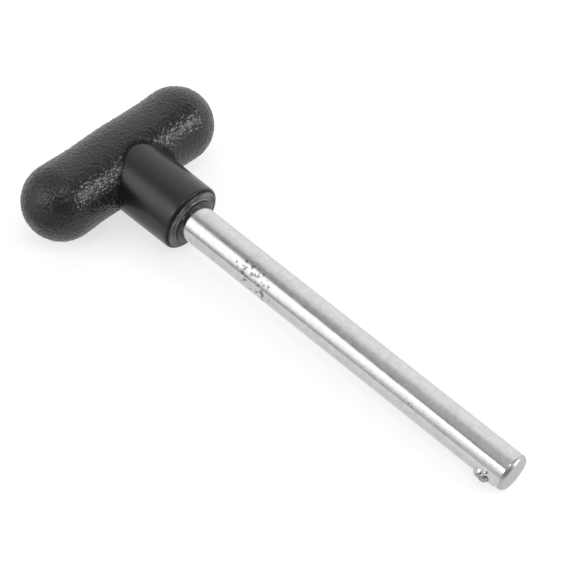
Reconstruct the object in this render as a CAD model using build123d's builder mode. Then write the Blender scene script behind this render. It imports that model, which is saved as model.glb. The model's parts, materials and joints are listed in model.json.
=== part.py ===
from build123d import *
import math
import os

# Selector pin for a gym weight stack, lying on a table as it comes to rest.
# X runs along the grip bar, the shaft points to -Y, Z is up. Millimetres.
# The origin is on the table, under the middle of the pin's length.

# Handle: a round-ended grip bar and a tapered collar, moulded in one piece round the shaft
bar_length = 61.2
bar_diameter = 20.6
bar_waist_relief = 0.2
bar_waist_place = 12.6
bar_middle_crown = 0.05
collar_length = 26.2
collar_inset = 1.0
collar_taper = 0.2
collar_rim_fillet = 1.0
collar_bar_fillet = 0.8
boss_diameter = 12.2
boss_height = 1.2
boss_fillet = 0.4

# Shaft: a bright steel rod with its upper end keyed into the moulding
shaft_diameter = 10.0
shaft_exposed = 104.0
shaft_buried_past_bar_axis = 4.5
tip_chamfer_length = 1.05
tip_chamfer_depth = 0.5
buried_end_chamfer = 0.6
key_groove_count = 2
key_groove_width = 2.0
key_groove_depth = 0.8
key_groove_pitch = 6.0
key_groove_from_collar_end = 8.0
key_flat_depth = 1.0
key_flat_length = 7.0

# Detent: a ball on a spring in a blind cross hole near the tip
ball_diameter = 3.5
ball_from_tip = 5.2
ball_proud = 1.24
ball_turn = 200.0
pocket_clearance = 0.08
pocket_floor = 1.7
mouth_squeeze = 0.12
mouth_flare_angle = 28.0
wire_diameter = 0.4
spring_turns = 6.0
spring_clearance = 0.12
seat_clearance = 0.02

# Staking: metal pushed up round the pocket, high on the handle side and low on the tip side
stake_back_radius = 2.1
stake_back_offset = 1.0
stake_back_height = 1.27
stake_front_radius = 2.4
stake_front_offset = 2.5
stake_front_height = 0.33

# Sizes worked out from the ones above
shaft_radius = shaft_diameter / 2
bar_radius = bar_diameter / 2
middle_radius = bar_radius + bar_middle_crown
lobe_place = bar_length / 2 - bar_radius
collar_root_radius = middle_radius - collar_inset
collar_end_radius = collar_root_radius - collar_taper
tip_place = collar_length + boss_height + shaft_exposed
ball_radius = ball_diameter / 2
ball_place = tip_place - ball_from_tip
ball_height = shaft_radius + ball_proud - ball_radius
pocket_radius = ball_radius + pocket_clearance
pocket_bottom = pocket_floor - shaft_radius
mouth_radius = ball_radius - mouth_squeeze
mouth_height = ball_height + math.sqrt(pocket_radius**2 - mouth_radius**2)
flare_top = shaft_radius + max(stake_back_height, stake_front_height) + ball_radius
flare_radius = mouth_radius + (flare_top - mouth_height) * math.tan(math.radians(mouth_flare_angle))
coil_radius = pocket_radius - spring_clearance - wire_diameter / 2
coil_bottom = pocket_bottom + seat_clearance + wire_diameter / 2
coil_reach = ball_radius + seat_clearance + wire_diameter / 2
coil_top = ball_height - math.sqrt(coil_reach**2 - coil_radius**2)
coil_height = coil_top - coil_bottom

# Lying on the table the bar and the edge of the tip both touch it, so the shaft dips to its tip
contact_place = tip_place - tip_chamfer_length
contact_reach = math.hypot(contact_place, shaft_radius)
dip = math.asin(middle_radius / contact_reach) - math.atan2(shaft_radius, contact_place)
pin_front = tip_place * math.cos(dip) + (shaft_radius - tip_chamfer_depth) * math.sin(dip)
bar_center = (0, (pin_front - middle_radius) / 2, middle_radius)

# Directions of the lying pin: along the bar, along the shaft to its tip, and square to both
across = Vector(1, 0, 0)
to_tip = Vector(0, -math.cos(dip), -math.sin(dip))
upward = to_tip.cross(across)
pin_plane = Plane(origin=bar_center, x_dir=across, z_dir=to_tip)
shaft_section = Plane(origin=bar_center, x_dir=to_tip, z_dir=to_tip.cross(upward))
shaft_axis = Axis(bar_center, to_tip)
bar_axis = Axis(bar_center, across)

# The pocket points sideways from the shaft, turned about it from the bar's direction
turn = math.radians(ball_turn)
outward = across * math.cos(turn) + upward * math.sin(turn)
pocket_center = Vector(bar_center) + to_tip * ball_place
pocket_section = Plane(origin=pocket_center, x_dir=to_tip, z_dir=to_tip.cross(outward))
pocket_axis = Axis(pocket_center, outward)
ball_center = pocket_center + outward * ball_height


# Shaft, turned from bar stock
with BuildPart() as shaft:
    with BuildSketch(shaft_section):
        with BuildLine():
            Polyline(
                (-shaft_buried_past_bar_axis, 0),
                (-shaft_buried_past_bar_axis, shaft_radius - buried_end_chamfer),
                (buried_end_chamfer - shaft_buried_past_bar_axis, shaft_radius),
                (tip_place - tip_chamfer_length, shaft_radius),
                (tip_place, shaft_radius - tip_chamfer_depth),
                (tip_place, 0),
                close=True,
            )
        make_face()
    revolve(axis=shaft_axis)

    # Ring grooves that the moulding fills, so that the handle can't pull off
    with BuildSketch(shaft_section):
        for groove in range(key_groove_count):
            groove_place = collar_length - key_groove_from_collar_end - groove * key_groove_pitch
            with Locations((groove_place, shaft_radius)):
                Rectangle(key_groove_width, 2 * key_groove_depth)
    revolve(axis=shaft_axis, mode=Mode.SUBTRACT)

    # A flat on each side of the buried end, so that the handle can't turn on it
    with BuildSketch(pin_plane.offset(-shaft_buried_past_bar_axis)):
        with Locations((0, shaft_radius), (0, -shaft_radius)):
            Rectangle(shaft_diameter, 2 * key_flat_depth)
    extrude(amount=key_flat_length, mode=Mode.SUBTRACT)

    # Staked metal beside the pocket
    for radius, offset, height in (
        (stake_back_radius, -stake_back_offset, stake_back_height),
        (stake_front_radius, stake_front_offset, stake_front_height),
    ):
        hump_center = pocket_center + to_tip * offset + outward * (shaft_radius + height - radius)
        with Locations(hump_center):
            Sphere(radius)

    # Pocket: a blind bore, closed in over the ball to a narrower mouth that flares outward
    with BuildSketch(pocket_section):
        with BuildLine():
            bore = Polyline(
                (0, pocket_bottom),
                (pocket_radius, pocket_bottom),
                (pocket_radius, ball_height),
            )
            lip = RadiusArc(bore @ 1, (mouth_radius, mouth_height), -pocket_radius)
            Polyline(
                lip @ 1,
                (flare_radius, flare_top),
                (0, flare_top),
                (0, pocket_bottom),
            )
        make_face()
    revolve(axis=pocket_axis, mode=Mode.SUBTRACT)
shaft.part.label = "shaft"


# Handle, moulded round the shaft's upper end
with BuildPart() as handle:
    with BuildSketch(pin_plane):
        with BuildLine():
            crest = Spline(
                (-lobe_place, bar_radius),
                (-bar_waist_place, bar_radius - bar_waist_relief),
                (0, middle_radius),
                (bar_waist_place, bar_radius - bar_waist_relief),
                (lobe_place, bar_radius),
                tangents=((1, 0), (1, 0)),
            )
            right_end = RadiusArc(crest @ 1, (bar_length / 2, 0), bar_radius)
            left_end = RadiusArc((-bar_length / 2, 0), crest @ 0, bar_radius)
            Line(right_end @ 1, left_end @ 0)
        make_face()
    revolve(axis=bar_axis)

    with BuildSketch(shaft_section):
        with BuildLine():
            Polyline(
                (0, 0),
                (0, collar_root_radius),
                (collar_length, collar_end_radius),
                (collar_length, boss_diameter / 2),
                (collar_length + boss_height, boss_diameter / 2),
                (collar_length + boss_height, 0),
                close=True,
            )
        make_face()
    revolve(axis=shaft_axis)

    # Smooth root where the collar leaves the bar, round rims at its end
    root = handle.edges().filter_by(lambda edge: edge.is_closed and edge.geom_type != GeomType.CIRCLE)
    fillet(root, collar_bar_fillet)
    end_rims = handle.edges().filter_by(GeomType.CIRCLE).group_by(shaft_axis)[-2]
    fillet(end_rims.sort_by(SortBy.RADIUS)[-1], collar_rim_fillet)
    fillet(handle.edges().filter_by(GeomType.CIRCLE).sort_by(shaft_axis)[-1], boss_fillet)

    add(shaft.part, mode=Mode.SUBTRACT)
handle.part.label = "handle"


# Ball, held in the pocket by the closed-in mouth
with BuildPart() as detent_ball:
    with Locations(ball_center):
        Sphere(ball_radius)
detent_ball.part.label = "detent_ball"


# Spring, squeezed between the pocket's floor and the ball
with BuildPart() as detent_spring:
    with BuildLine() as coil:
        Helix(
            pitch=coil_height / spring_turns,
            height=coil_height,
            radius=coil_radius,
            center=pocket_center + outward * coil_bottom,
            direction=outward,
        )
    with BuildSketch(coil.line ^ 0):
        Circle(wire_diameter / 2)
    sweep(is_frenet=True)
detent_spring.part.label = "detent_spring"


os.makedirs("parts", exist_ok=True)
export_step(shaft.part, "parts/shaft.step")
export_step(handle.part, "parts/handle.step")
export_step(detent_ball.part, "parts/detent_ball.step")
export_step(detent_spring.part, "parts/detent_spring.step")
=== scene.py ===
import itertools
import json
import math

import bmesh
import bpy
import numpy as np
from bpy.props import FloatProperty, FloatVectorProperty, IntProperty, PointerProperty
from mathutils import Matrix, Vector


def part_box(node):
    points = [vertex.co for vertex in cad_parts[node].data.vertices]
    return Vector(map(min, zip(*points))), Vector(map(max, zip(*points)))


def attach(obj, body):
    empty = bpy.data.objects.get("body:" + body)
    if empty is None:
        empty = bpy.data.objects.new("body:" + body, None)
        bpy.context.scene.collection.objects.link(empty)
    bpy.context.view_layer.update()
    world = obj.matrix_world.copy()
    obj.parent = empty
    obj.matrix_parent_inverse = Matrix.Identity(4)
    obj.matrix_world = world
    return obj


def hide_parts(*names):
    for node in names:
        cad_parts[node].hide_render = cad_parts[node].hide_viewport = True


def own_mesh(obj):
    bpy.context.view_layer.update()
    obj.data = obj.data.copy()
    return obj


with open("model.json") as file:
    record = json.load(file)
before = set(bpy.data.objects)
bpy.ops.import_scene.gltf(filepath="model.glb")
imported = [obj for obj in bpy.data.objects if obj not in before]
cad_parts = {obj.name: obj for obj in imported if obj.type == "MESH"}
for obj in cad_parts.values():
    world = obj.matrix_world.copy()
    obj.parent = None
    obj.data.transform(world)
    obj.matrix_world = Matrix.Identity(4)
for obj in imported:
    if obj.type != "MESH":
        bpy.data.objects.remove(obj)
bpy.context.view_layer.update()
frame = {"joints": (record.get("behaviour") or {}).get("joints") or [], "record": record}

bl_info = {
    "name": "Weight stack pin",
    "version": (1, 0),
    "blender": (4, 5, 0),
    "location": "View3D > Sidebar > Stack pin",
    "description": "Builds a selector pin: a moulded grip, a plated shaft and a sprung ball near its tip",
    "category": "Add Mesh",
}

MM = 0.001
BODY = "pin"
BALL_BODY = "ball"
PRESS = "detent_press"

# Points of a piece that are closer than this are merged
WELD = 2e-7

# The shaft's keyed end inside the moulding, its grooves measured from the collar's end
BURIED_DEPTH = 4.5 * MM
BURIED_CHAMFER = 0.6 * MM
GROOVE_PLACES = (14 * MM, 8 * MM)
GROOVE_WIDTH = 2.0 * MM
GROOVE_DEPTH = 0.8 * MM
FLAT_LENGTH = 7.0 * MM
FLAT_DEPTH = 1.0 * MM


# The pin's own frame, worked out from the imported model

def mount(name):
    """The record's mount of that name."""
    return next(m for m in frame["record"]["mounts"] if m["name"] == name)


press_joint = next(j for j in frame["joints"] if j["name"] == PRESS)
handle_low, handle_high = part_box("handle")
ball_low, ball_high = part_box("detent_ball")

across = Vector((1, 0, 0))
to_tip = Vector(mount("shank")["axis"])
upward = to_tip.cross(across)
middle_radius = (handle_high.z - handle_low.z) / 2
bar_center = Vector((0, handle_high.y - middle_radius, handle_low.z + middle_radius))
shaft_radius = mount("shank")["dims"]["r_mm"] * MM
shaft_length = mount("shank")["dims"]["length_mm"] * MM
tip_place = (Vector(mount("shank")["pos_m"]) - bar_center).dot(to_tip) + shaft_length / 2
collar_length = (Vector(mount("shoulder")["pos_m"]) - bar_center).dot(to_tip)
boss_place = tip_place - shaft_length

outward = -Vector(press_joint["axis"])
ball_center = (ball_low + ball_high) / 2
ball_radius = (ball_high.x - ball_low.x) / 2
pocket_place = (ball_center - bar_center).dot(to_tip)
ball_height = (ball_center - bar_center).dot(outward)
pocket_turn = math.atan2(outward.dot(upward), outward.dot(across))

PIN_AXES = np.array([across, to_tip, upward])


def place(points):
    """Points given across the bar, towards the tip and upward from the bar's centre, in the shared frame."""
    return points @ PIN_AXES + np.array(bar_center)


def in_pin_frame(points):
    """Points of the shared frame as the pin's own: across the bar, towards the tip and upward."""
    return (points - np.array(bar_center)) @ PIN_AXES.T


# Sizes and colours that a user would change

class HandleMeasures(bpy.types.PropertyGroup):
    bar_radius: FloatProperty(
        name="Bar radius", description="Radius of the bar's round ends", default=10.3 * MM, unit="LENGTH")
    bar_half_length: FloatProperty(
        name="Half length", description="From the shaft's axis to either end of the bar",
        default=(handle_high.x - handle_low.x) / 2, unit="LENGTH")
    waist_relief: FloatProperty(
        name="Waist relief", description="How far the waist lies inside the round ends",
        default=0.2 * MM, unit="LENGTH")
    waist_place: FloatProperty(
        name="Waist place", description="From the shaft's axis to the waist on either side",
        default=12.6 * MM, unit="LENGTH")
    collar_inset: FloatProperty(
        name="Collar inset", description="How far the collar's root lies inside the bar's sides",
        default=1.0 * MM, unit="LENGTH")
    collar_taper: FloatProperty(
        name="Collar taper", description="Radius that the collar loses from its root to its end",
        default=0.2 * MM, unit="LENGTH")
    root_fillet: FloatProperty(
        name="Root fillet", description="Radius of the hollow where the collar leaves the bar",
        default=0.04 * MM, unit="LENGTH")
    # Painted shade: the bar close to the collar's root gets less shine, for the shade in that corner
    root_shade: FloatProperty(
        name="Root grime", description="How far the grime in the collar's corner reaches onto the bar",
        default=2.1 * MM, unit="LENGTH")
    rim_fillet: FloatProperty(
        name="Rim fillet", description="Radius of the collar's rounded end", default=1.0 * MM, unit="LENGTH")
    rim_bead: FloatProperty(
        name="Rim bead", description="Radius of the fine moulding line where the rim meets the end face",
        default=0.2 * MM, unit="LENGTH")
    boss_radius: FloatProperty(
        name="Boss radius", description="Radius of the raised ring round the shaft",
        default=6.1 * MM, unit="LENGTH")
    boss_fillet: FloatProperty(
        name="Boss fillet", description="Radius of the raised ring's edge", default=0.4 * MM, unit="LENGTH")
    boss_foot: FloatProperty(
        name="Boss foot", description="Radius of the hollow at the raised ring's foot",
        default=0.75 * MM, unit="LENGTH")
    bore_gap: FloatProperty(
        name="Bore gap", description="Hairline between the boss and the shaft",
        default=0.02 * MM, unit="LENGTH")
    pitch: FloatProperty(
        name="Mesh pitch", description="Distance between the surface's points on the grained bar",
        default=0.22 * MM, unit="LENGTH")
    pebble: FloatProperty(
        name="Pebble size", description="Width of one pebble of the leather grain",
        default=0.95 * MM, unit="LENGTH")
    pebble_depth: FloatProperty(
        name="Pebble depth", description="Depth of the creases between the pebbles",
        default=0.092 * MM, unit="LENGTH")
    seed: IntProperty(name="Seed", description="Which scatter of pebbles is used", default=7)
    colour: FloatVectorProperty(
        name="Plastic colour", description="Colour of the moulded plastic",
        default=(0.010, 0.010, 0.0105), size=3, subtype="COLOR", min=0, max=1)
    worn_colour: FloatVectorProperty(
        name="Worn colour", description="Colour of the collar's end, rubbed pale by the weight plates",
        default=(0.27, 0.27, 0.274), size=3, subtype="COLOR", min=0, max=1)


class ShaftMeasures(bpy.types.PropertyGroup):
    chamfer_length: FloatProperty(
        name="Chamfer length", description="Length of the tip's chamfer along the shaft",
        default=1.05 * MM, unit="LENGTH")
    chamfer_depth: FloatProperty(
        name="Chamfer depth", description="Radius that the tip's chamfer takes off",
        default=0.5 * MM, unit="LENGTH")
    chamfer_bulge: FloatProperty(
        name="Chamfer bulge", description="Angle through which the tip's chamfer bends",
        default=math.radians(30), subtype="ANGLE")
    edge_round: FloatProperty(
        name="Edge rounding", description="Radius worn onto the tip's edges",
        default=0.12 * MM, unit="LENGTH")
    pocket_clearance: FloatProperty(
        name="Pocket clearance", description="Gap between the ball and its pocket's wall",
        default=0.08 * MM, unit="LENGTH")
    mouth_squeeze: FloatProperty(
        name="Mouth squeeze", description="How much smaller the closed-in mouth is than the ball, in radius",
        default=0.12 * MM, unit="LENGTH")
    mouth_flare: FloatProperty(
        name="Mouth flare", description="Angle at which the mouth opens above the ball",
        default=math.radians(28), subtype="ANGLE")
    pocket_floor: FloatProperty(
        name="Pocket floor", description="Steel left under the pocket", default=1.7 * MM, unit="LENGTH")
    hump_radii: FloatVectorProperty(
        name="Hump radii", description="Radius of each staked hump: behind, before and beside the ball",
        default=(2.1 * MM, 2.4 * MM, 0.9 * MM), size=3, unit="LENGTH")
    hump_offsets: FloatVectorProperty(
        name="Hump offsets", description="From the pocket's axis to each hump, towards the tip",
        default=(-1.0 * MM, 2.5 * MM, 0.35 * MM), size=3, unit="LENGTH")
    hump_heights: FloatVectorProperty(
        name="Hump heights", description="How far each hump stands out of the shaft",
        default=(1.27 * MM, 0.33 * MM, 0.55 * MM), size=3, unit="LENGTH")
    hump_turns: FloatVectorProperty(
        name="Hump turns", description="From the pocket's axis round the shaft to each hump",
        default=(0, 0, math.radians(-25)), size=3, subtype="EULER")
    hump_blend: FloatProperty(
        name="Hump blend", description="How softly the humps run into the shaft and each other",
        default=0.12 * MM, unit="LENGTH")
    lip_round: FloatProperty(
        name="Lip rounding", description="Radius of the staked lip's edge", default=0.10 * MM, unit="LENGTH")
    stray_pits: FloatProperty(
        name="Stray pits", description="How pitted the shaft is away from the patches of pits", default=0.12)
    pitted_places: FloatVectorProperty(
        name="Pitted places", description="From the bar's axis to the middle of each patch of pits",
        default=(54.5 * MM, 49 * MM, 102 * MM), size=3, unit="LENGTH")
    pitted_turns: FloatVectorProperty(
        name="Pitted turns", description="Where round the shaft each patch of pits lies",
        default=(math.radians(162), math.radians(139), math.radians(158)), size=3, subtype="EULER")
    pitted_reach: FloatVectorProperty(
        name="Pitted reach", description="How far each patch of pits spreads",
        default=(3.0 * MM, 3.8 * MM, 1.8 * MM), size=3, unit="LENGTH")
    colour: FloatVectorProperty(
        name="Plating colour", description="Colour of the bright plating",
        default=(0.57, 0.57, 0.58), size=3, subtype="COLOR", min=0, max=1)
    worn_colour: FloatVectorProperty(
        name="Worn colour", description="Colour of the tip, where the plating is rubbed dull",
        default=(0.43, 0.43, 0.44), size=3, subtype="COLOR", min=0, max=1)
    pit_colour: FloatVectorProperty(
        name="Pit colour", description="Colour of the pits in the plating",
        default=(0.10, 0.10, 0.10), size=3, subtype="COLOR", min=0, max=1)
    # Painted shade: the dark colour given to the pocket's mouth and wall, for the shade in that recess
    painted_shade_colour: FloatVectorProperty(
        name="Grime colour", description="Colour of the grime in the pocket's mouth",
        default=(0.06, 0.06, 0.06), size=3, subtype="COLOR", min=0, max=1)


class DetentMeasures(bpy.types.PropertyGroup):
    wire_radius: FloatProperty(
        name="Wire radius", description="Radius of the spring's wire", default=0.2 * MM, unit="LENGTH")
    turns: FloatProperty(name="Turns", description="Turns of the spring", default=6.0)
    spring_clearance: FloatProperty(
        name="Spring clearance", description="Gap between the spring and the pocket's wall",
        default=0.12 * MM, unit="LENGTH")
    seat_clearance: FloatProperty(
        name="Seat clearance", description="Gap at either end of the spring",
        default=0.02 * MM, unit="LENGTH")
    ball_colour: FloatVectorProperty(
        name="Ball colour", description="Colour of the worn ball",
        default=(0.33, 0.33, 0.34), size=3, subtype="COLOR", min=0, max=1)
    wire_colour: FloatVectorProperty(
        name="Wire colour", description="Colour of the spring's wire",
        default=(0.5, 0.5, 0.52), size=3, subtype="COLOR", min=0, max=1)


class StudioMeasures(bpy.types.PropertyGroup):
    camera_place: FloatVectorProperty(
        name="Camera place", description="Camera from the bar's centre: across, towards the tip and upward",
        default=(-251.236 * MM, 235.195 * MM, 366.856 * MM), size=3, subtype="XYZ", unit="LENGTH")
    camera_azimuth: FloatProperty(
        name="Camera azimuth", description="Where the camera stands round the pin, 0 in front of the tip",
        default=math.radians(-54.9574), subtype="ANGLE")
    camera_elevation: FloatProperty(
        name="Camera elevation", description="How far the camera looks down on the pin",
        default=math.radians(49.8881), subtype="ANGLE")
    camera_roll: FloatProperty(
        name="Camera roll", description="How far the camera is turned about its line of sight",
        default=math.radians(10.0966), subtype="ANGLE")
    camera_lens: FloatProperty(
        name="Lens", description="Focal length on a 36 mm sensor, in millimetres", default=121.553)
    floor_size: FloatProperty(
        name="Floor size", description="Side of the pale floor", default=6.0, unit="LENGTH")
    floor_colour: FloatVectorProperty(
        name="Floor colour", description="Colour of the pale floor",
        default=(0.38, 0.38, 0.38), size=3, subtype="COLOR", min=0, max=1)
    floor_glow: FloatProperty(
        name="Floor glow", description="What the floor gains where it is seen, so that it comes out white",
        default=0.69)
    cloth_colour: FloatVectorProperty(
        name="Cloth colour", description="Colour of the low strip of cloth beside the pin",
        default=(0.62, 0.62, 0.62), size=3, subtype="COLOR", min=0, max=1)


GROUPS = {
    "stack_pin_handle": HandleMeasures,
    "stack_pin_shaft": ShaftMeasures,
    "stack_pin_detent": DetentMeasures,
    "stack_pin_studio": StudioMeasures,
}


# Grids, and the meshes made from them

def ramp(start, end, count):
    """count evenly spaced numbers after start, up to and with end."""
    return np.linspace(start, end, count + 1)[1:]


def arc(center, radius, start, end, count):
    """Points round a circle in the plane of (place along the shaft, radius), angles in degrees."""
    turn = np.radians(np.linspace(start, end, count))
    return np.stack([center[0] + radius * np.cos(turn), center[1] + radius * np.sin(turn)], -1)


def with_margins(profile, margin=0.05 * MM):
    """The profile with two more points on each long straight stretch, close to its ends, so that smooth
    shading bends only at the corners."""
    profile = np.asarray(profile, float)
    run = np.diff(profile, axis=0)
    length = np.linalg.norm(run, axis=1, keepdims=True)
    shift = run / np.maximum(length, 1e-9) * margin
    starts = np.stack([profile[:-1], profile[:-1] + shift, profile[1:] - shift], 1)
    kept = np.stack([np.ones(len(run), bool), *[length[:, 0] > 4 * margin] * 2], 1)
    return np.concatenate([starts[kept], profile[-1:]])


def spin(profile, angles):
    """Surface of revolution about the shaft's axis: rows of (along, radius) carried round the angles."""
    along, radius = np.asarray(profile, float).T
    return np.stack([
        radius[:, None] * np.cos(angles),
        np.broadcast_to(along[:, None], (len(along), len(angles))),
        radius[:, None] * np.sin(angles),
    ], -1)


def rectangle_walk(columns, rows):
    """The points round a grid's edge in order, with no point twice, as (column value, row value) pairs."""
    return np.concatenate([
        np.stack([np.full(len(rows) - 1, columns[-1]), rows[:-1]], -1),
        np.stack([columns[:0:-1], np.full(len(columns) - 1, rows[-1])], -1),
        np.stack([np.full(len(rows) - 1, columns[0]), rows[:0:-1]], -1),
        np.stack([columns[:-1], np.full(len(columns) - 1, rows[0])], -1),
    ])


def faces_of(rows, columns, closed):
    """The quads of a grid, whose last column joins its first where it is closed."""
    row, column = np.meshgrid(
        np.arange(rows - 1), np.arange(columns if closed else columns - 1), indexing="ij")
    following = (column + 1) % columns
    quads = [row * columns + column, row * columns + following,
             (row + 1) * columns + following, (row + 1) * columns + column]
    return np.stack(quads, -1).reshape(-1, 4)


def read_values(collection, kind, width):
    """The values of that kind in a mesh's collection, with a row of that width for each of its items."""
    values = np.empty(len(collection) * width, np.float32)
    collection.foreach_get(kind, values)
    return values.reshape(-1, width).astype(float)


def write_attribute(mesh, name, values):
    """Gives each point of the mesh its value of that name."""
    layer = mesh.attributes.new(name, "FLOAT", "POINT")
    layer.data.foreach_set("value", np.asarray(values, np.float32))


def add_object(name, data):
    """A new object in the scene, made of a mesh, a lamp or a camera."""
    added = bpy.data.objects.new(name, data)
    bpy.context.scene.collection.objects.link(added)
    return added


def make_piece(name, grids):
    """One closed mesh from grids of points in the pin's own frame, each given with whether it closes on
    itself and how grained and how worn its points are. Points that meet are merged, and the faces are
    turned outward."""
    points, quads, count = [], [], 0
    # The second mark is real wear where it is above 0, and painted shade where it is below 0
    marks = {"grain": [], "wear_and_shade": []}
    for grid, closed, *amounts in grids:
        rows, columns = grid.shape[:2]
        points.append(grid.reshape(-1, 3))
        quads.append(faces_of(rows, columns, closed) + count)
        for kind, amount in zip(marks, amounts):
            marks[kind].append(np.broadcast_to(amount, (rows, columns)).ravel())
        count += rows * columns
    mesh = bpy.data.meshes.new(name)
    mesh.from_pydata(place(np.concatenate(points)), [], np.concatenate(quads))
    for kind, values in marks.items():
        write_attribute(mesh, kind, np.concatenate(values))
    work = bmesh.new()
    work.from_mesh(mesh)
    bmesh.ops.remove_doubles(work, verts=work.verts, dist=WELD)
    bmesh.ops.recalc_face_normals(work, faces=work.faces)
    work.to_mesh(mesh)
    work.free()
    mesh.shade_smooth()
    return add_object(name, mesh)


def two_nearest(points, cell, seed):
    """Distances, in cells, from each point to the nearest two of seeds that are scattered one to a cell."""
    size = 64
    table = np.random.default_rng(seed).random((size, size, size, 3))
    scaled = points / cell
    corner = np.floor(scaled).astype(int)
    nearest = np.full(len(points), np.inf)
    second = np.full(len(points), np.inf)
    for step in itertools.product((-1, 0, 1), repeat=3):
        cell_corner = corner + step
        a, b, c = (cell_corner % size).T
        distance = np.linalg.norm(cell_corner + table[a, b, c] - scaled, axis=1)
        second = np.minimum(second, np.maximum(distance, nearest))
        nearest = np.minimum(nearest, distance)
    return nearest, second


def smooth_step(value, low, high):
    """0 below low, 1 above high and a smooth rise between them."""
    share = np.clip((value - low) / (high - low), 0, 1)
    return share * share * (3 - 2 * share)


# Finishes

def set_inputs(tree, node, inputs):
    """Sets a node's inputs, each to a value or to the output of another node."""
    for socket, value in dict(inputs).items():
        if isinstance(value, bpy.types.NodeSocket):
            tree.links.new(value, node.inputs[socket])
        else:
            node.inputs[socket].default_value = value


def add_node(tree, kind, inputs=(), **settings):
    """A shader node of that kind with its settings and its inputs."""
    node = tree.nodes.new("ShaderNode" + kind)
    for setting, value in settings.items():
        setattr(node, setting, value)
    set_inputs(tree, node, inputs)
    return node


def new_material(name):
    """An empty node material: the material, its node tree and its Principled shader."""
    material = bpy.data.materials.new(name)
    material.use_nodes = True
    return material, material.node_tree, material.node_tree.nodes["Principled BSDF"]


def attribute(tree, name):
    """The surface's own value of that name."""
    return add_node(tree, "Attribute", attribute_name=name).outputs["Fac"]


def noise(tree, vector, scale, detail, roughness=0.5):
    """Smooth noise from 0 to 1."""
    inputs = {"Vector": vector, "Scale": scale, "Detail": detail, "Roughness": roughness}
    return add_node(tree, "TexNoise", inputs).outputs["Fac"]


def result(tree, operation, *values, use_clamp=False):
    """The result of an operation on numbers or the outputs of other nodes."""
    return add_node(tree, "Math", enumerate(values), operation=operation, use_clamp=use_clamp).outputs[0]


def ranged(tree, value, low, high, to_low=0.0, to_high=1.0, shape="LINEAR"):
    """value carried from the range low to high to the range to_low to to_high, and held inside it."""
    inputs = {"Value": value, "From Min": low, "From Max": high, "To Min": to_low, "To Max": to_high}
    return add_node(tree, "MapRange", inputs, interpolation_type=shape).outputs["Result"]


def mixed(tree, share, low, high):
    """A colour that goes from low to high as share goes from 0 to 1."""
    low, high = (c if isinstance(c, bpy.types.NodeSocket) else (*c, 1) for c in (low, high))
    return add_node(tree, "Mix", {0: share, 6: low, 7: high}, data_type="RGBA").outputs[2]


def blend(tree, share, low, high):
    """A number that goes from low to high as share goes from 0 to 1."""
    return add_node(tree, "Mix", {0: share, 2: low, 3: high}, data_type="FLOAT").outputs[0]


def bumped(tree, height, distance, strength, below=None):
    """The surface's direction as a height bends it, on top of the bumps below."""
    node = add_node(tree, "Bump", {"Height": height, "Distance": distance, "Strength": strength})
    if below is not None:
        set_inputs(tree, node, {"Normal": below})
    return node.outputs["Normal"]


def pin_coordinates(tree):
    """Object coordinates turned so that Y runs along the shaft, measured from the bar's centre."""
    source = add_node(tree, "TexCoord").outputs["Object"]
    inputs = {"Vector": source, "Location": bar_center, "Rotation": (math.asin(-to_tip.z), 0, 0)}
    return add_node(tree, "Mapping", inputs, vector_type="TEXTURE").outputs["Vector"]


def turned_rings(tree, scale):
    """Fine rings round the shaft's axis, as from turning or from rubbing on a plate: a height from 0 to 1."""
    split = add_node(tree, "SeparateXYZ", {"Vector": pin_coordinates(tree)})
    flat = add_node(tree, "CombineXYZ", {"X": split.outputs["X"], "Z": split.outputs["Z"]})
    radius = add_node(tree, "VectorMath", {0: flat.outputs["Vector"]}, operation="LENGTH")
    inputs = {"W": radius.outputs["Value"], "Scale": scale, "Detail": 3.0, "Roughness": 0.6}
    return add_node(tree, "TexNoise", inputs, noise_dimensions="1D").outputs["Fac"]


def moulding_finish(m):
    """Black plastic: leather grain where the surface's grain value is 1, satin where it is 0. It is rubbed
    pale in rings where its wear value is 1, and where that value is -1 it has little shine, which is
    painted shade on the collar's rim and on the bar beside the collar's root."""
    material, tree, shader = new_material("black_moulding")
    grain, wear_and_shade = attribute(tree, "grain"), attribute(tree, "wear_and_shade")
    vector = add_node(tree, "TexCoord").outputs["Object"]
    rings = turned_rings(tree, scale=2500.0)
    patches = noise(tree, vector, scale=170.0, detail=4.0)
    rubbed = ranged(tree, result(tree, "MULTIPLY", rings, patches), 0.18, 0.36)
    pale = result(tree, "MULTIPLY", rubbed, wear_and_shade)

    # The grain's finest creases, on top of the pebbles in the mesh
    cells = add_node(
        tree, "TexVoronoi", {"Vector": vector, "Scale": 0.62 / m.pebble}, feature="DISTANCE_TO_EDGE")
    crease = ranged(tree, cells.outputs["Distance"], 0.0, 0.22, shape="SMOOTHSTEP")
    fine_noise = noise(tree, vector, scale=2600.0, detail=2.0)
    height = result(tree, "MULTIPLY_ADD", fine_noise, 0.18, crease)
    grained = bumped(tree, result(tree, "MULTIPLY", height, grain), 0.05 * MM, 0.6)
    set_inputs(tree, shader, {
        "Base Color": mixed(tree, pale, m.colour, m.worn_colour),
        "Roughness": ranged(tree, wear_and_shade, 0.0, 1.0, 0.27, 0.20),
        # Painted shade: less shine where the wear value is below 0, on the collar's rim and beside its root
        "Specular IOR Level": ranged(tree, wear_and_shade, -1.0, 0.0, 0.12, 0.5),
        "Normal": bumped(tree, rings, 0.14 * MM, wear_and_shade, grained),
    })
    return material


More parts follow.
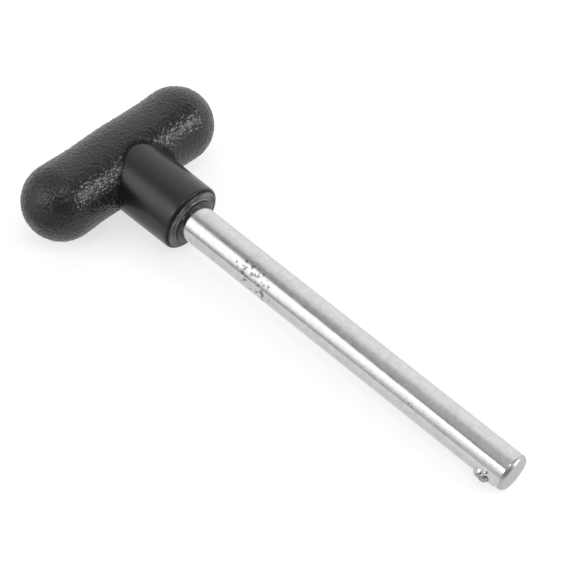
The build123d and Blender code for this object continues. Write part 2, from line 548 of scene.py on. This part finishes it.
def plating_finish(m):
    """Bright plated steel: faint marks drawn out along the shaft, a cloudy bloom and dark pits where the
    pitting value is 1. Where its wear value is 1 it is dull with rings from the lathe, and where it is -1
    it is darkened with painted shade, as in the pocket's mouth."""
    material, tree, shader = new_material("bright_plate")
    wear_and_shade, pitting = attribute(tree, "wear_and_shade"), attribute(tree, "pitting")
    vector = pin_coordinates(tree)
    drawn_out = add_node(tree, "Mapping", {"Vector": vector, "Scale": (1, 0.25, 1)}).outputs["Vector"]
    marks = noise(tree, drawn_out, scale=1100.0, detail=5.0, roughness=0.65)
    clouds = noise(tree, vector, scale=700.0, detail=6.0, roughness=0.75)
    dull = [0.86 * channel for channel in m.colour]
    bright = [1.05 * channel for channel in m.colour]
    colour = mixed(tree, ranged(tree, clouds, 0.35, 0.65), dull, bright)

    # Pits: round spots about scattered seeds, each with a size of its own
    for scale, widest in ((850.0, 0.60), (1400.0, 0.48)):
        cells = add_node(tree, "TexVoronoi", {"Vector": vector, "Scale": scale})
        chance = add_node(tree, "SeparateColor", {"Color": cells.outputs["Color"]}).outputs["Red"]
        reach = ranged(tree, result(tree, "ADD", chance, pitting), 1.0, 1.9, 0.0, widest)
        inside = result(tree, "SUBTRACT", reach, cells.outputs["Distance"])
        colour = mixed(tree, ranged(tree, inside, -0.02, 0.08, 0.0, 0.7), colour, m.pit_colour)

    colour = mixed(tree, wear_and_shade, colour, m.worn_colour)
    # Painted shade: where the wear value is below 0 the colour goes dark, in the pocket's mouth and down its
    # wall
    painted_shade = result(tree, "MULTIPLY", wear_and_shade, -1.0, use_clamp=True)
    plain_roughness = ranged(tree, marks, 0.3, 0.7, 0.07, 0.18)
    worn_roughness = ranged(tree, wear_and_shade, 0.0, 1.0, 0.0, 0.22)
    drawn = bumped(tree, marks, 0.02 * MM, 0.5)
    uneven = bumped(tree, clouds, 0.02 * MM, 0.5, drawn)
    set_inputs(tree, shader, {
        "Metallic": 1.0,
        "Base Color": mixed(tree, painted_shade, colour, m.painted_shade_colour),
        "Roughness": result(tree, "ADD", plain_roughness, worn_roughness),
        "Normal": bumped(tree, turned_rings(tree, scale=2200.0), 0.04 * MM, wear_and_shade, uneven),
    })
    return material


def steel_finish(name, colour, roughness):
    """Worn or drawn steel with a slight unevenness."""
    material, tree, shader = new_material(name)
    marks = noise(tree, add_node(tree, "TexCoord").outputs["Object"], scale=1800.0, detail=3.0)
    set_inputs(tree, shader, {
        "Metallic": 1.0,
        "Base Color": (*colour, 1),
        "Roughness": ranged(tree, marks, 0.0, 1.0, roughness * 0.6, roughness * 1.4),
    })
    return material


# The moulded handle

def bar_radius_at(x, m):
    """The bar's radius at a place along it: a waist each side of the middle, and round ends."""
    far = np.abs(x)
    lobe_place = m.bar_half_length - m.bar_radius
    waist_radius = m.bar_radius - m.waist_relief
    inner = (1 + np.cos(np.pi * np.clip(far / m.waist_place, 0, 1))) / 2
    outer = (1 - np.cos(np.pi * np.clip((far - m.waist_place) / (lobe_place - m.waist_place), 0, 1))) / 2
    middle = waist_radius + (middle_radius - waist_radius) * inner + m.waist_relief * outer
    end = np.sqrt(np.maximum(m.bar_radius**2 - (far - lobe_place) ** 2, 0))
    return np.where(far < lobe_place, middle, end)


def bar_point(x, turn, m):
    """The bar's surface: its radius at x, carried round its axis from the direction of the tip."""
    radius = bar_radius_at(x, m)
    return np.stack([x, radius * np.cos(turn), radius * np.sin(turn)], -1)


def handle_grids(m):
    """The moulding in grids that share their edges: two round ends, the back of the middle, the front of the
    middle round the collar, and the collar with its root hollow, rim, boss and bore."""
    collar_margin = 1.9 * MM
    front_width = 5.5 * MM
    front_half = math.radians(88)
    hollow_rows, side_rows = 13, 9
    root = middle_radius - m.collar_inset
    lobe_place = m.bar_half_length - m.bar_radius
    side = root + m.root_fillet + collar_margin

    def steps(length):
        return max(2, round(length / m.pitch))

    back_end = 2 * math.pi - front_half
    front_turns = np.linspace(-front_half, front_half, steps(2 * front_half * m.bar_radius) + 1)
    back_turns = np.linspace(front_half, back_end, steps((back_end - front_half) * m.bar_radius) + 1)
    all_turns = np.concatenate([front_turns[:-1], back_turns[:-1]])
    middle_places = np.linspace(-side, side, steps(2 * side) + 1)

    # Ends: even steps along the crest, then even angles to the pole
    crest = np.linspace(side, lobe_place, steps(lobe_place - side) + 1)
    cap = lobe_place + m.bar_radius * np.sin(ramp(0, math.pi / 2, steps(m.bar_radius * math.pi / 2)))
    end_places = np.concatenate([crest, cap])
    end_places[-1] = m.bar_half_length
    right_end = bar_point(*np.broadcast_arrays(end_places[:, None], all_turns), m)
    left_end = right_end * [-1, 1, 1]
    back = bar_point(*np.broadcast_arrays(middle_places[:, None], back_turns), m)

    # A ball of the fillet's radius rolls round the root, touching the collar and the bar
    walk = rectangle_walk(middle_places, front_turns)
    reach = root + m.root_fillet
    widest_turn = math.atan2(reach, math.sqrt((middle_radius + m.root_fillet) ** 2 - reach**2))
    angles = np.arctan2(walk[:, 1] / widest_turn, walk[:, 0] / reach)
    ball_x, ball_z = reach * np.cos(angles), reach * np.sin(angles)
    bar_reach = bar_radius_at(ball_x, m) + m.root_fillet
    ball_y = np.sqrt(bar_reach**2 - ball_z**2)
    hole_turns = np.arctan2(ball_z, ball_y)

    # The front's rows run from the rectangle to the root, and lie closer together towards it
    share = (np.linspace(0, 1, steps(front_width) + 1) ** 0.85)[:, None]
    front = bar_point(
        walk[:, 0] + (ball_x - walk[:, 0]) * share, walk[:, 1] + (hole_turns - walk[:, 1]) * share, m)

    to_collar = np.stack([-np.cos(angles), np.zeros_like(angles), -np.sin(angles)], -1)
    to_bar = np.stack([np.zeros_like(angles), -ball_y, -ball_z], -1) / bar_reach[:, None]
    between = np.arccos(np.clip((to_collar * to_bar).sum(-1), -1, 1))
    turn = between * np.linspace(0, 1, hollow_rows)[:, None]
    hollow = to_bar * np.sin(between - turn)[..., None] + to_collar * np.sin(turn)[..., None]
    hollow = np.stack([ball_x, ball_y, ball_z], -1) + m.root_fillet * hollow / np.sin(between)[:, None]
    hollow = hollow + (front[-1] - hollow[0]) * np.linspace(1, 0, hollow_rows)[:, None, None]

    # The rest of the collar is round: side, rim, end ring, boss and bore
    end = root - m.collar_taper
    rim_place = collar_length - m.rim_fillet
    side_share = np.linspace(0, 1, side_rows)[:, None]
    side_along = ball_y + (rim_place - ball_y) * side_share
    side_radius = root + (end - root) * side_share
    sides = np.stack([side_radius * np.cos(angles), side_along, side_radius * np.sin(angles)], -1)
    bore = shaft_radius + m.bore_gap
    foot = m.boss_foot
    bead_radius = end - m.rim_fillet - m.rim_bead
    profile = np.concatenate([
        arc((rim_place, end - m.rim_fillet), m.rim_fillet, 90, 0, 9),
        arc((collar_length, bead_radius), m.rim_bead, 90, -90, 9),
        [(collar_length, (bead_radius + m.boss_radius + foot) / 2)],
        arc((collar_length + foot, m.boss_radius + foot), foot, 180, 270, 6),
        arc((boss_place - m.boss_fillet, m.boss_radius - m.boss_fillet), m.boss_fillet, 90, 0, 6),
        [(boss_place, bore), (boss_place - 1.0 * MM, bore), (-BURIED_DEPTH, bore), (-BURIED_DEPTH, 0)],
    ])
    collar = np.concatenate([hollow, sides[1:], spin(with_margins(profile), angles)[1:]])

    # The end face is rubbed within the moulding line, and the rim and the bar beside the root lose their
    # shine as painted shade
    off_end = np.abs(collar[..., 1] - collar_length)
    off_rim = collar[..., 1] - rim_place
    within = np.hypot(collar[..., 0], collar[..., 2]) < bead_radius + 1.1 * m.rim_bead
    rubbed = np.where(within, smooth_step(-off_end, -0.5 * MM, -0.14 * MM), 0)
    rim_shade = np.where(within, 0, smooth_step(off_rim, 0.4 * MM, 0.75 * MM))
    off_root = np.linalg.norm(front - front[-1], axis=-1)
    root_shade = 1 - smooth_step(off_root, 0.6 * MM, m.root_shade)
    front_grain = smooth_step(off_root, 0, 0.2 * MM)
    return [(right_end, True, 1, 0), (left_end, True, 1, 0), (back, False, 1, 0),
            (front, True, front_grain, -root_shade), (collar, True, 0, rubbed - rim_shade)]


class STACKPIN_OT_handle(bpy.types.Operator):
    """Add the moulded grip bar and its collar"""
    bl_idname = "stackpin.handle"
    bl_label = "Handle"

    def execute(self, context):
        m = context.scene.stack_pin_handle
        piece = make_piece("handle_moulding", handle_grids(m))
        mesh = piece.data
        points = read_values(mesh.vertices, "co", 3)
        normals = read_values(mesh.vertex_normals, "vector", 3)
        grain = read_values(mesh.attributes["grain"].data, "value", 1)
        nearest, second = two_nearest(points, m.pebble, m.seed)

        # Each pebble is a dome with a crease round it
        height = smooth_step(second - nearest, 0.0, 0.5) - 1 - 0.8 * nearest**2
        points += normals * grain * (m.pebble_depth * height)[:, None]
        mesh.vertices.foreach_set("co", points.astype(np.float32).ravel())
        mesh.update()
        mesh.materials.append(moulding_finish(m))
        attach(piece, BODY)
        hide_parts("handle")
        return {"FINISHED"}


# The shaft

def stake_radius(along, turn, m):
    """The shaft's radius round the pocket: the plain rod, or the ball of metal of any hump that is higher."""
    radius = np.full(np.broadcast(along, turn).shape, shaft_radius)
    for size, offset, height, hump_turn in zip(m.hump_radii, m.hump_offsets, m.hump_heights, m.hump_turns):
        middle = shaft_radius + height - size
        inside = size**2 - (along - pocket_place - offset) ** 2 - (middle * np.sin(turn - hump_turn)) ** 2
        hump = middle * np.cos(turn - hump_turn) + np.sqrt(np.maximum(inside, 0))
        hump = np.where(inside > 0, hump, 0)
        gap = np.abs(radius - hump)
        radius = np.maximum(radius, hump) + np.maximum(m.hump_blend - gap, 0) ** 2 / (4 * m.hump_blend)
    return radius


def mouth_ring(m):
    """The radius of the pocket's narrowest ring and its height over the shaft's axis."""
    mouth = ball_radius - m.mouth_squeeze
    return mouth, ball_height + math.sqrt((ball_radius + m.pocket_clearance) ** 2 - mouth**2)


def pocket_radius_at(height, m):
    """The pocket's radius at a height over the shaft's axis: bore, closed-in lip, then flare."""
    bore = ball_radius + m.pocket_clearance
    mouth, mouth_height = mouth_ring(m)
    lip = np.sqrt(np.maximum(bore**2 - np.maximum(height - ball_height, 0) ** 2, mouth**2))
    return np.where(height < mouth_height, lip, mouth + (height - mouth_height) * math.tan(m.mouth_flare))


def about_pocket(height, ahead, aside):
    """Points at a height over the shaft's axis, and towards the tip and to the side of the pocket's axis."""
    height, ahead, aside = np.broadcast_arrays(height, ahead, aside)
    return np.stack([
        height * math.cos(pocket_turn) - aside * math.sin(pocket_turn),
        pocket_place + ahead,
        height * math.sin(pocket_turn) + aside * math.cos(pocket_turn),
    ], -1)


def buried_profile():
    """The rod's outline from its buried end over the key grooves: pairs of (along, radius)."""
    end = -BURIED_DEPTH
    outline = [(end, 0), (end, shaft_radius - BURIED_CHAMFER), (end + BURIED_CHAMFER, shaft_radius)]
    deep = shaft_radius - GROOVE_DEPTH
    for off_end in GROOVE_PLACES:
        low = collar_length - off_end - GROOVE_WIDTH / 2
        high = low + GROOVE_WIDTH
        outline += [(low, shaft_radius), (low, deep), (high, deep), (high, shaft_radius)]
    return outline


def nose_profile(m):
    """The tip's outline: its chamfer, which bends a little, its worn edge and the flat face."""
    face = shaft_radius - m.chamfer_depth
    slope = math.atan2(m.chamfer_depth, m.chamfer_length)
    bend = m.chamfer_bulge / 2
    swing = math.hypot(m.chamfer_length, m.chamfer_depth) / (2 * math.sin(bend))
    middle = np.array([2 * tip_place - m.chamfer_length, shaft_radius + face]) / 2
    center = middle - swing * math.cos(bend) * np.array([math.sin(slope), math.cos(slope)])
    first, last = (math.degrees(math.pi / 2 - slope + swung) for swung in (bend, -bend))
    chamfer = arc(center, swing, first, last, 12)
    worn = m.edge_round
    return np.concatenate([
        chamfer[:-1],
        arc((tip_place - worn, chamfer[-1, 1] - worn * 0.6), worn, last, 0, 6),
        [(tip_place, face * share) for share in (0.9, 0.7, 0.4, 0.0)],
    ])


def shaft_grids(m):
    """The rod in grids that share their edges: plain lengths, a patch with the staked pocket, and the tip."""
    columns, patch_half = 192, 26
    reach = 4.0 * MM
    step = 2 * math.pi / columns
    turns = np.arange(columns) * step + pocket_turn
    patch_places = pocket_place + np.linspace(-reach, reach, 41)
    patch_turns = np.arange(-patch_half, patch_half + 1) * step
    rest_turns = np.arange(patch_half, columns - patch_half + 1) * step + pocket_turn
    rest = spin([(along, shaft_radius) for along in patch_places], rest_turns)

    plain = [(along, shaft_radius) for along in np.linspace(collar_length, patch_places[0], 60)]
    rod = spin(buried_profile() + plain, turns)
    flat = shaft_radius - FLAT_DEPTH
    keyed = rod[..., 1] < FLAT_LENGTH - BURIED_DEPTH
    rod[..., 2] = np.where(keyed, np.clip(rod[..., 2], -flat, flat), rod[..., 2])

    # The mouth's edge, where the pocket's wall meets the staked metal, settles after a few rounds
    walk = rectangle_walk(patch_places, patch_turns)
    direction = np.arctan2(walk[:, 1] * shaft_radius, walk[:, 0] - pocket_place)
    ahead, aside = np.cos(direction), np.sin(direction)
    edge = np.full(len(walk), ball_radius)
    height = np.full(len(walk), shaft_radius)
    for _ in range(30):
        turn = np.arctan2(edge * aside, height)
        radius = stake_radius(pocket_place + edge * ahead, turn, m)
        height = np.sqrt(radius**2 - (edge * aside) ** 2)
        edge = pocket_radius_at(height, m)

    # The patch's rows run from the rectangle to that edge, which is rounded, and lie closer towards it
    lip_turn = np.arctan2(edge * aside, height)
    lip_along = pocket_place + edge * ahead
    share = 1 - (1 - np.linspace(0, 1, 40)[:, None]) ** 1.6
    along = walk[:, 0] + (lip_along - walk[:, 0]) * share
    turn = walk[:, 1] + (lip_turn - walk[:, 1]) * share
    radius = stake_radius(along, turn, m)
    side = np.hypot(along - pocket_place, radius * np.sin(turn)) - edge
    round_off = np.maximum(m.lip_round - side, 0)
    radius = radius - m.lip_round + np.sqrt(np.maximum(m.lip_round**2 - round_off**2, 0))
    patch = about_pocket(radius * np.cos(turn), along - pocket_place, radius * np.sin(turn))
    mouth, mouth_height = mouth_ring(m)
    # Painted shade: the metal round the pocket's mouth is darkened
    off_mouth = np.hypot(side + edge - mouth, radius * np.cos(turn) - mouth_height)
    mouth_shade = 1 - smooth_step(off_mouth, 0.1 * MM, 0.4 * MM)

    # Inside the pocket, from the lip down to the middle of its floor
    lip_height = height - m.lip_round
    depth = lip_height + (ball_height - lip_height) * np.linspace(0, 1, 9)[:, None]
    depth = np.concatenate([depth, np.full((2, len(walk)), m.pocket_floor - shaft_radius)])
    wide = pocket_radius_at(depth, m)
    wide[-1] = 0
    wall = np.concatenate([patch[-1:], about_pocket(depth, wide * ahead, wide * aside)])
    # Painted shade: the pocket's wall is darkened from its mouth downward
    over_mouth = np.concatenate([lip_height[None], depth]) - mouth_height
    pocket_wall_shade = 1 - smooth_step(over_mouth, 0, 0.35 * MM)

    nose = with_margins(np.concatenate([[(patch_places[-1], shaft_radius)], nose_profile(m)]))
    past_shoulder = nose[:, :1] - (tip_place - m.chamfer_length)
    return [(rod, True, 0, 0), (patch, True, 0, -mouth_shade), (wall, True, 0, -pocket_wall_shade),
            (rest, False, 0, 0), (spin(nose, turns), True, 0, smooth_step(past_shoulder, 0, m.edge_round))]


class STACKPIN_OT_shaft(bpy.types.Operator):
    """Add the plated shaft with its staked pocket"""
    bl_idname = "stackpin.shaft"
    bl_label = "Shaft"

    def execute(self, context):
        m = context.scene.stack_pin_shaft
        piece = make_piece("plated_shaft", shaft_grids(m))
        points = in_pin_frame(read_values(piece.data.vertices, "co", 3))
        pitting = np.full(len(points), m.stray_pits)
        for along, turn, reach in zip(m.pitted_places, m.pitted_turns, m.pitted_reach):
            spot = np.array([shaft_radius * math.cos(turn), along, shaft_radius * math.sin(turn)])
            pitting = np.maximum(pitting, np.exp(-((points - spot) ** 2).sum(1) / (2 * reach**2)))
        write_attribute(piece.data, "pitting", pitting)
        piece.data.materials.append(plating_finish(m))
        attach(piece, BODY)
        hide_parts("shaft")
        return {"FINISHED"}


# The detent

class STACKPIN_OT_ball(bpy.types.Operator):
    """Add the ball that snaps into the weight stack"""
    bl_idname = "stackpin.ball"
    bl_label = "Ball"

    def execute(self, context):
        m = context.scene.stack_pin_detent
        polar, turn = np.meshgrid(
            np.linspace(0, math.pi, 49), np.linspace(0, 2 * math.pi, 97)[:-1], indexing="ij")
        shell = np.stack([np.sin(polar) * np.cos(turn), np.cos(polar), np.sin(polar) * np.sin(turn)], -1)
        center = in_pin_frame(np.array(ball_center))
        piece = make_piece("detent_sphere", [(center + ball_radius * shell, True, 0, 0)])
        piece.data.materials.append(steel_finish("worn_ball", m.ball_colour, 0.34))
        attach(piece, BALL_BODY)
        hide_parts("detent_ball")
        return {"FINISHED"}


class STACKPIN_OT_spring(bpy.types.Operator):
    """Add the coil spring under the ball"""
    bl_idname = "stackpin.spring"
    bl_label = "Spring"

    def execute(self, context):
        m = context.scene.stack_pin_detent
        shaft = context.scene.stack_pin_shaft
        sides, steps_a_turn = 12, 36
        coil = ball_radius + shaft.pocket_clearance - m.spring_clearance - m.wire_radius
        bottom = shaft.pocket_floor - shaft_radius + m.seat_clearance + m.wire_radius
        under = ball_radius + m.seat_clearance + m.wire_radius
        top = ball_height - math.sqrt(under**2 - coil**2)
        share = np.linspace(0, 1, round(steps_a_turn * m.turns) + 1)[:, None]
        turn = 2 * math.pi * m.turns * share
        around = np.linspace(0, 2 * math.pi, sides + 1)[:-1]
        radius = coil + m.wire_radius * np.cos(around)
        height = bottom + (top - bottom) * share + m.wire_radius * np.sin(around)
        wire = about_pocket(height, radius * np.cos(turn), radius * np.sin(turn))
        start, end = (ring.mean(1, keepdims=True).repeat(sides, 1) for ring in (wire[:1], wire[-1:]))
        piece = make_piece("coil_spring", [(np.concatenate([start, wire, end]), True, 0, 0)])
        piece.data.materials.append(steel_finish("spring_wire", m.wire_colour, 0.25))
        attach(piece, BODY)
        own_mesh(piece)
        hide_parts("detent_spring")
        return {"FINISHED"}


# The stage

def seen_rays(tree):
    """1 for rays that see the background: from the camera, off metal or gloss, and through glass."""
    path = add_node(tree, "LightPath")
    total = path.outputs["Is Camera Ray"]
    for ray in ("Is Glossy Ray", "Is Transmission Ray"):
        total = result(tree, "ADD", total, path.outputs[ray], use_clamp=True)
    return total


def floor_finish(colour, glow):
    """A pale floor that is seen as white away from the shadow."""
    material, tree, shader = new_material("pale_floor")
    set_inputs(tree, shader, {
        "Base Color": (*colour, 1),
        "Roughness": 0.9,
        "Specular IOR Level": 0.0,
        "Emission Color": (1, 1, 1, 1),
        "Emission Strength": result(tree, "MULTIPLY", seen_rays(tree), glow),
    })
    return material


def cloth_finish(colour):
    """Cloth as dense as the surface's shade value."""
    material, tree, shader = new_material("grey_cloth")
    inputs = {"Base Color": (*colour, 1), "Roughness": 1.0, "Alpha": attribute(tree, "shade")}
    set_inputs(tree, shader, inputs)
    return material


def pin_direction(azimuth, elevation):
    """The direction of an azimuth and elevation in degrees about the pin, azimuth 0 being beyond its tip."""
    a, e = math.radians(azimuth), math.radians(elevation)
    return (across * math.sin(a) + to_tip * math.cos(a)) * math.cos(e) + upward * math.sin(e)


def studio_world():
    """A pale room, brighter to the right, with soft patches of other levels all round the pin."""
    world = bpy.data.worlds.new("studio")
    world.use_nodes = True
    tree = world.node_tree

    def patch(azimuth, elevation, inner, outer):
        """1 within the inner angle of a direction and 0 past the outer angle, all in degrees."""
        inputs = {0: add_node(tree, "TexCoord").outputs["Generated"], 1: pin_direction(azimuth, elevation)}
        near = add_node(tree, "VectorMath", inputs, operation="DOT_PRODUCT").outputs["Value"]
        return ranged(
            tree, near, math.cos(math.radians(outer)), math.cos(math.radians(inner)), shape="SMOOTHSTEP")

    # Each patch by azimuth, elevation, inner and outer angle
    right_wall = patch(100, 10, 15, 95)
    left_light = patch(-116, 31, 10, 34)
    ceiling = patch(-14, 64, 38, 52)
    ceiling_edge = result(tree, "MULTIPLY", patch(-14, 64, 52, 54), patch(-116, 31, 40, 60))
    dark_corner = patch(62, 52, 5, 20)
    dim_front = patch(-45, 10, 20, 75)
    room = blend(tree, right_wall, 0.75, 1.27)
    for share, level in ((left_light, 1.95), (ceiling_edge, 0.42), (ceiling, 0.70),
                         (dark_corner, 0.12), (dim_front, 0.30)):
        room = blend(tree, share, room, level)
    set_inputs(tree, tree.nodes["Background"], {"Strength": room, "Color": (1, 1, 1, 1)})
    return world


def soft_lamp(name, azimuth, elevation, width, height, level, distance=1.2):
    """A rectangular lamp that faces the pin, with its width and height in degrees and its level as seen."""
    aim = bar_center + to_tip * (tip_place / 2)
    lamp = bpy.data.lights.new(name, "AREA")
    lamp.shape = "RECTANGLE"
    lamp.size = 2 * distance * math.tan(math.radians(width / 2))
    lamp.size_y = 2 * distance * math.tan(math.radians(height / 2))
    lamp.energy = level * math.pi * lamp.size * lamp.size_y
    shine = add_object(name, lamp)
    direction = pin_direction(azimuth, elevation)
    shine.location = aim + direction * distance
    shine.rotation_euler = (-direction).to_track_quat("-Z", "Y").to_euler()
    shine.visible_camera = False


def flat_sheet(name, rows, material, shade=(1, 1)):
    """A flat sheet of the stage between rows of two points, each row as dense as its shade."""
    rows = np.asarray(rows, float)
    mesh = bpy.data.meshes.new(name)
    mesh.from_pydata(rows.reshape(-1, 3), [], faces_of(len(rows), 2, False))
    write_attribute(mesh, "shade", np.repeat(shade, 2))
    mesh.materials.append(material)
    sheet = add_object(name, mesh)
    return sheet


class STACKPIN_OT_studio(bpy.types.Operator):
    """Add the floor, the lamps and the camera"""
    bl_idname = "stackpin.studio"
    bl_label = "Studio"

    def execute(self, context):
        m = context.scene.stack_pin_studio
        scene = context.scene
        half = m.floor_size / 2
        flat_sheet(
            "floor", [[(-half, -half, 0), (half, -half, 0)], [(-half, half, 0), (half, half, 0)]],
            floor_finish(m.floor_colour, m.floor_glow))

        # The shaft mirrors the strip of cloth as a thin dark line
        beside, ends = -40 * MM, [-80 * MM, 220 * MM]
        heights = np.array([-10.0, -5.5, -3.5, 1.5]) * MM
        strip = np.stack(np.broadcast_arrays(beside, ends, heights[:, None]), -1)
        flag = flat_sheet("low_flag", place(strip), cloth_finish(m.cloth_colour), (0, 1, 1, 0))
        flag.visible_camera = False
        flag.visible_diffuse = False
        flag.visible_shadow = False

        scene.world = studio_world()

        # Each lamp by azimuth, elevation, width, height and level
        soft_lamp("right_softbox", 34, 35, 28, 9, 12.5)
        soft_lamp("top_lamp", -57, 78, 9, 9, 11.0)
        soft_lamp("left_lamp", -103, 37, 10, 10, 11.0)

        back = pin_direction(math.degrees(m.camera_azimuth), math.degrees(m.camera_elevation))
        level = across * math.cos(m.camera_azimuth) - to_tip * math.sin(m.camera_azimuth)
        tall = back.cross(level)
        right = level * math.cos(m.camera_roll) + tall * math.sin(m.camera_roll)
        up = back.cross(right)
        lens = bpy.data.cameras.new("camera")
        lens.sensor_width = 36
        lens.lens = m.camera_lens
        camera = add_object("camera", lens)
        turned = Matrix((right, up, back)).transposed().to_4x4()
        spot = Vector(place(np.array(m.camera_place)))
        camera.matrix_world = Matrix.Translation(spot) @ turned
        scene.camera = camera
        scene.view_settings.view_transform = "Standard"
        return {"FINISHED"}


class STACKPIN_PT_panel(bpy.types.Panel):
    """Lists the pin's pieces and their sizes"""
    bl_idname = "STACKPIN_PT_panel"
    bl_label = "Stack pin"
    bl_space_type = "VIEW_3D"
    bl_region_type = "UI"
    bl_category = "Stack pin"

    def draw(self, context):
        for maker in MAKERS:
            self.layout.operator(maker.bl_idname)
        for group_name, group in GROUPS.items():
            box = self.layout.box()
            for setting in group.__annotations__:
                box.prop(getattr(context.scene, group_name), setting)


MAKERS = (STACKPIN_OT_studio, STACKPIN_OT_handle, STACKPIN_OT_shaft, STACKPIN_OT_ball, STACKPIN_OT_spring)


def register():
    for kind in (*GROUPS.values(), *MAKERS, STACKPIN_PT_panel):
        bpy.utils.register_class(kind)
    for group_name, group in GROUPS.items():
        setattr(bpy.types.Scene, group_name, PointerProperty(type=group))


def unregister():
    for group_name in GROUPS:
        delattr(bpy.types.Scene, group_name)
    for kind in (STACKPIN_PT_panel, *reversed(MAKERS), *reversed(GROUPS.values())):
        bpy.utils.unregister_class(kind)


def main():
    register()
    bpy.ops.stackpin.studio()
    bpy.ops.stackpin.handle()
    bpy.ops.stackpin.shaft()
    bpy.ops.stackpin.ball()
    bpy.ops.stackpin.spring()


if __name__ == "__main__":
    main()
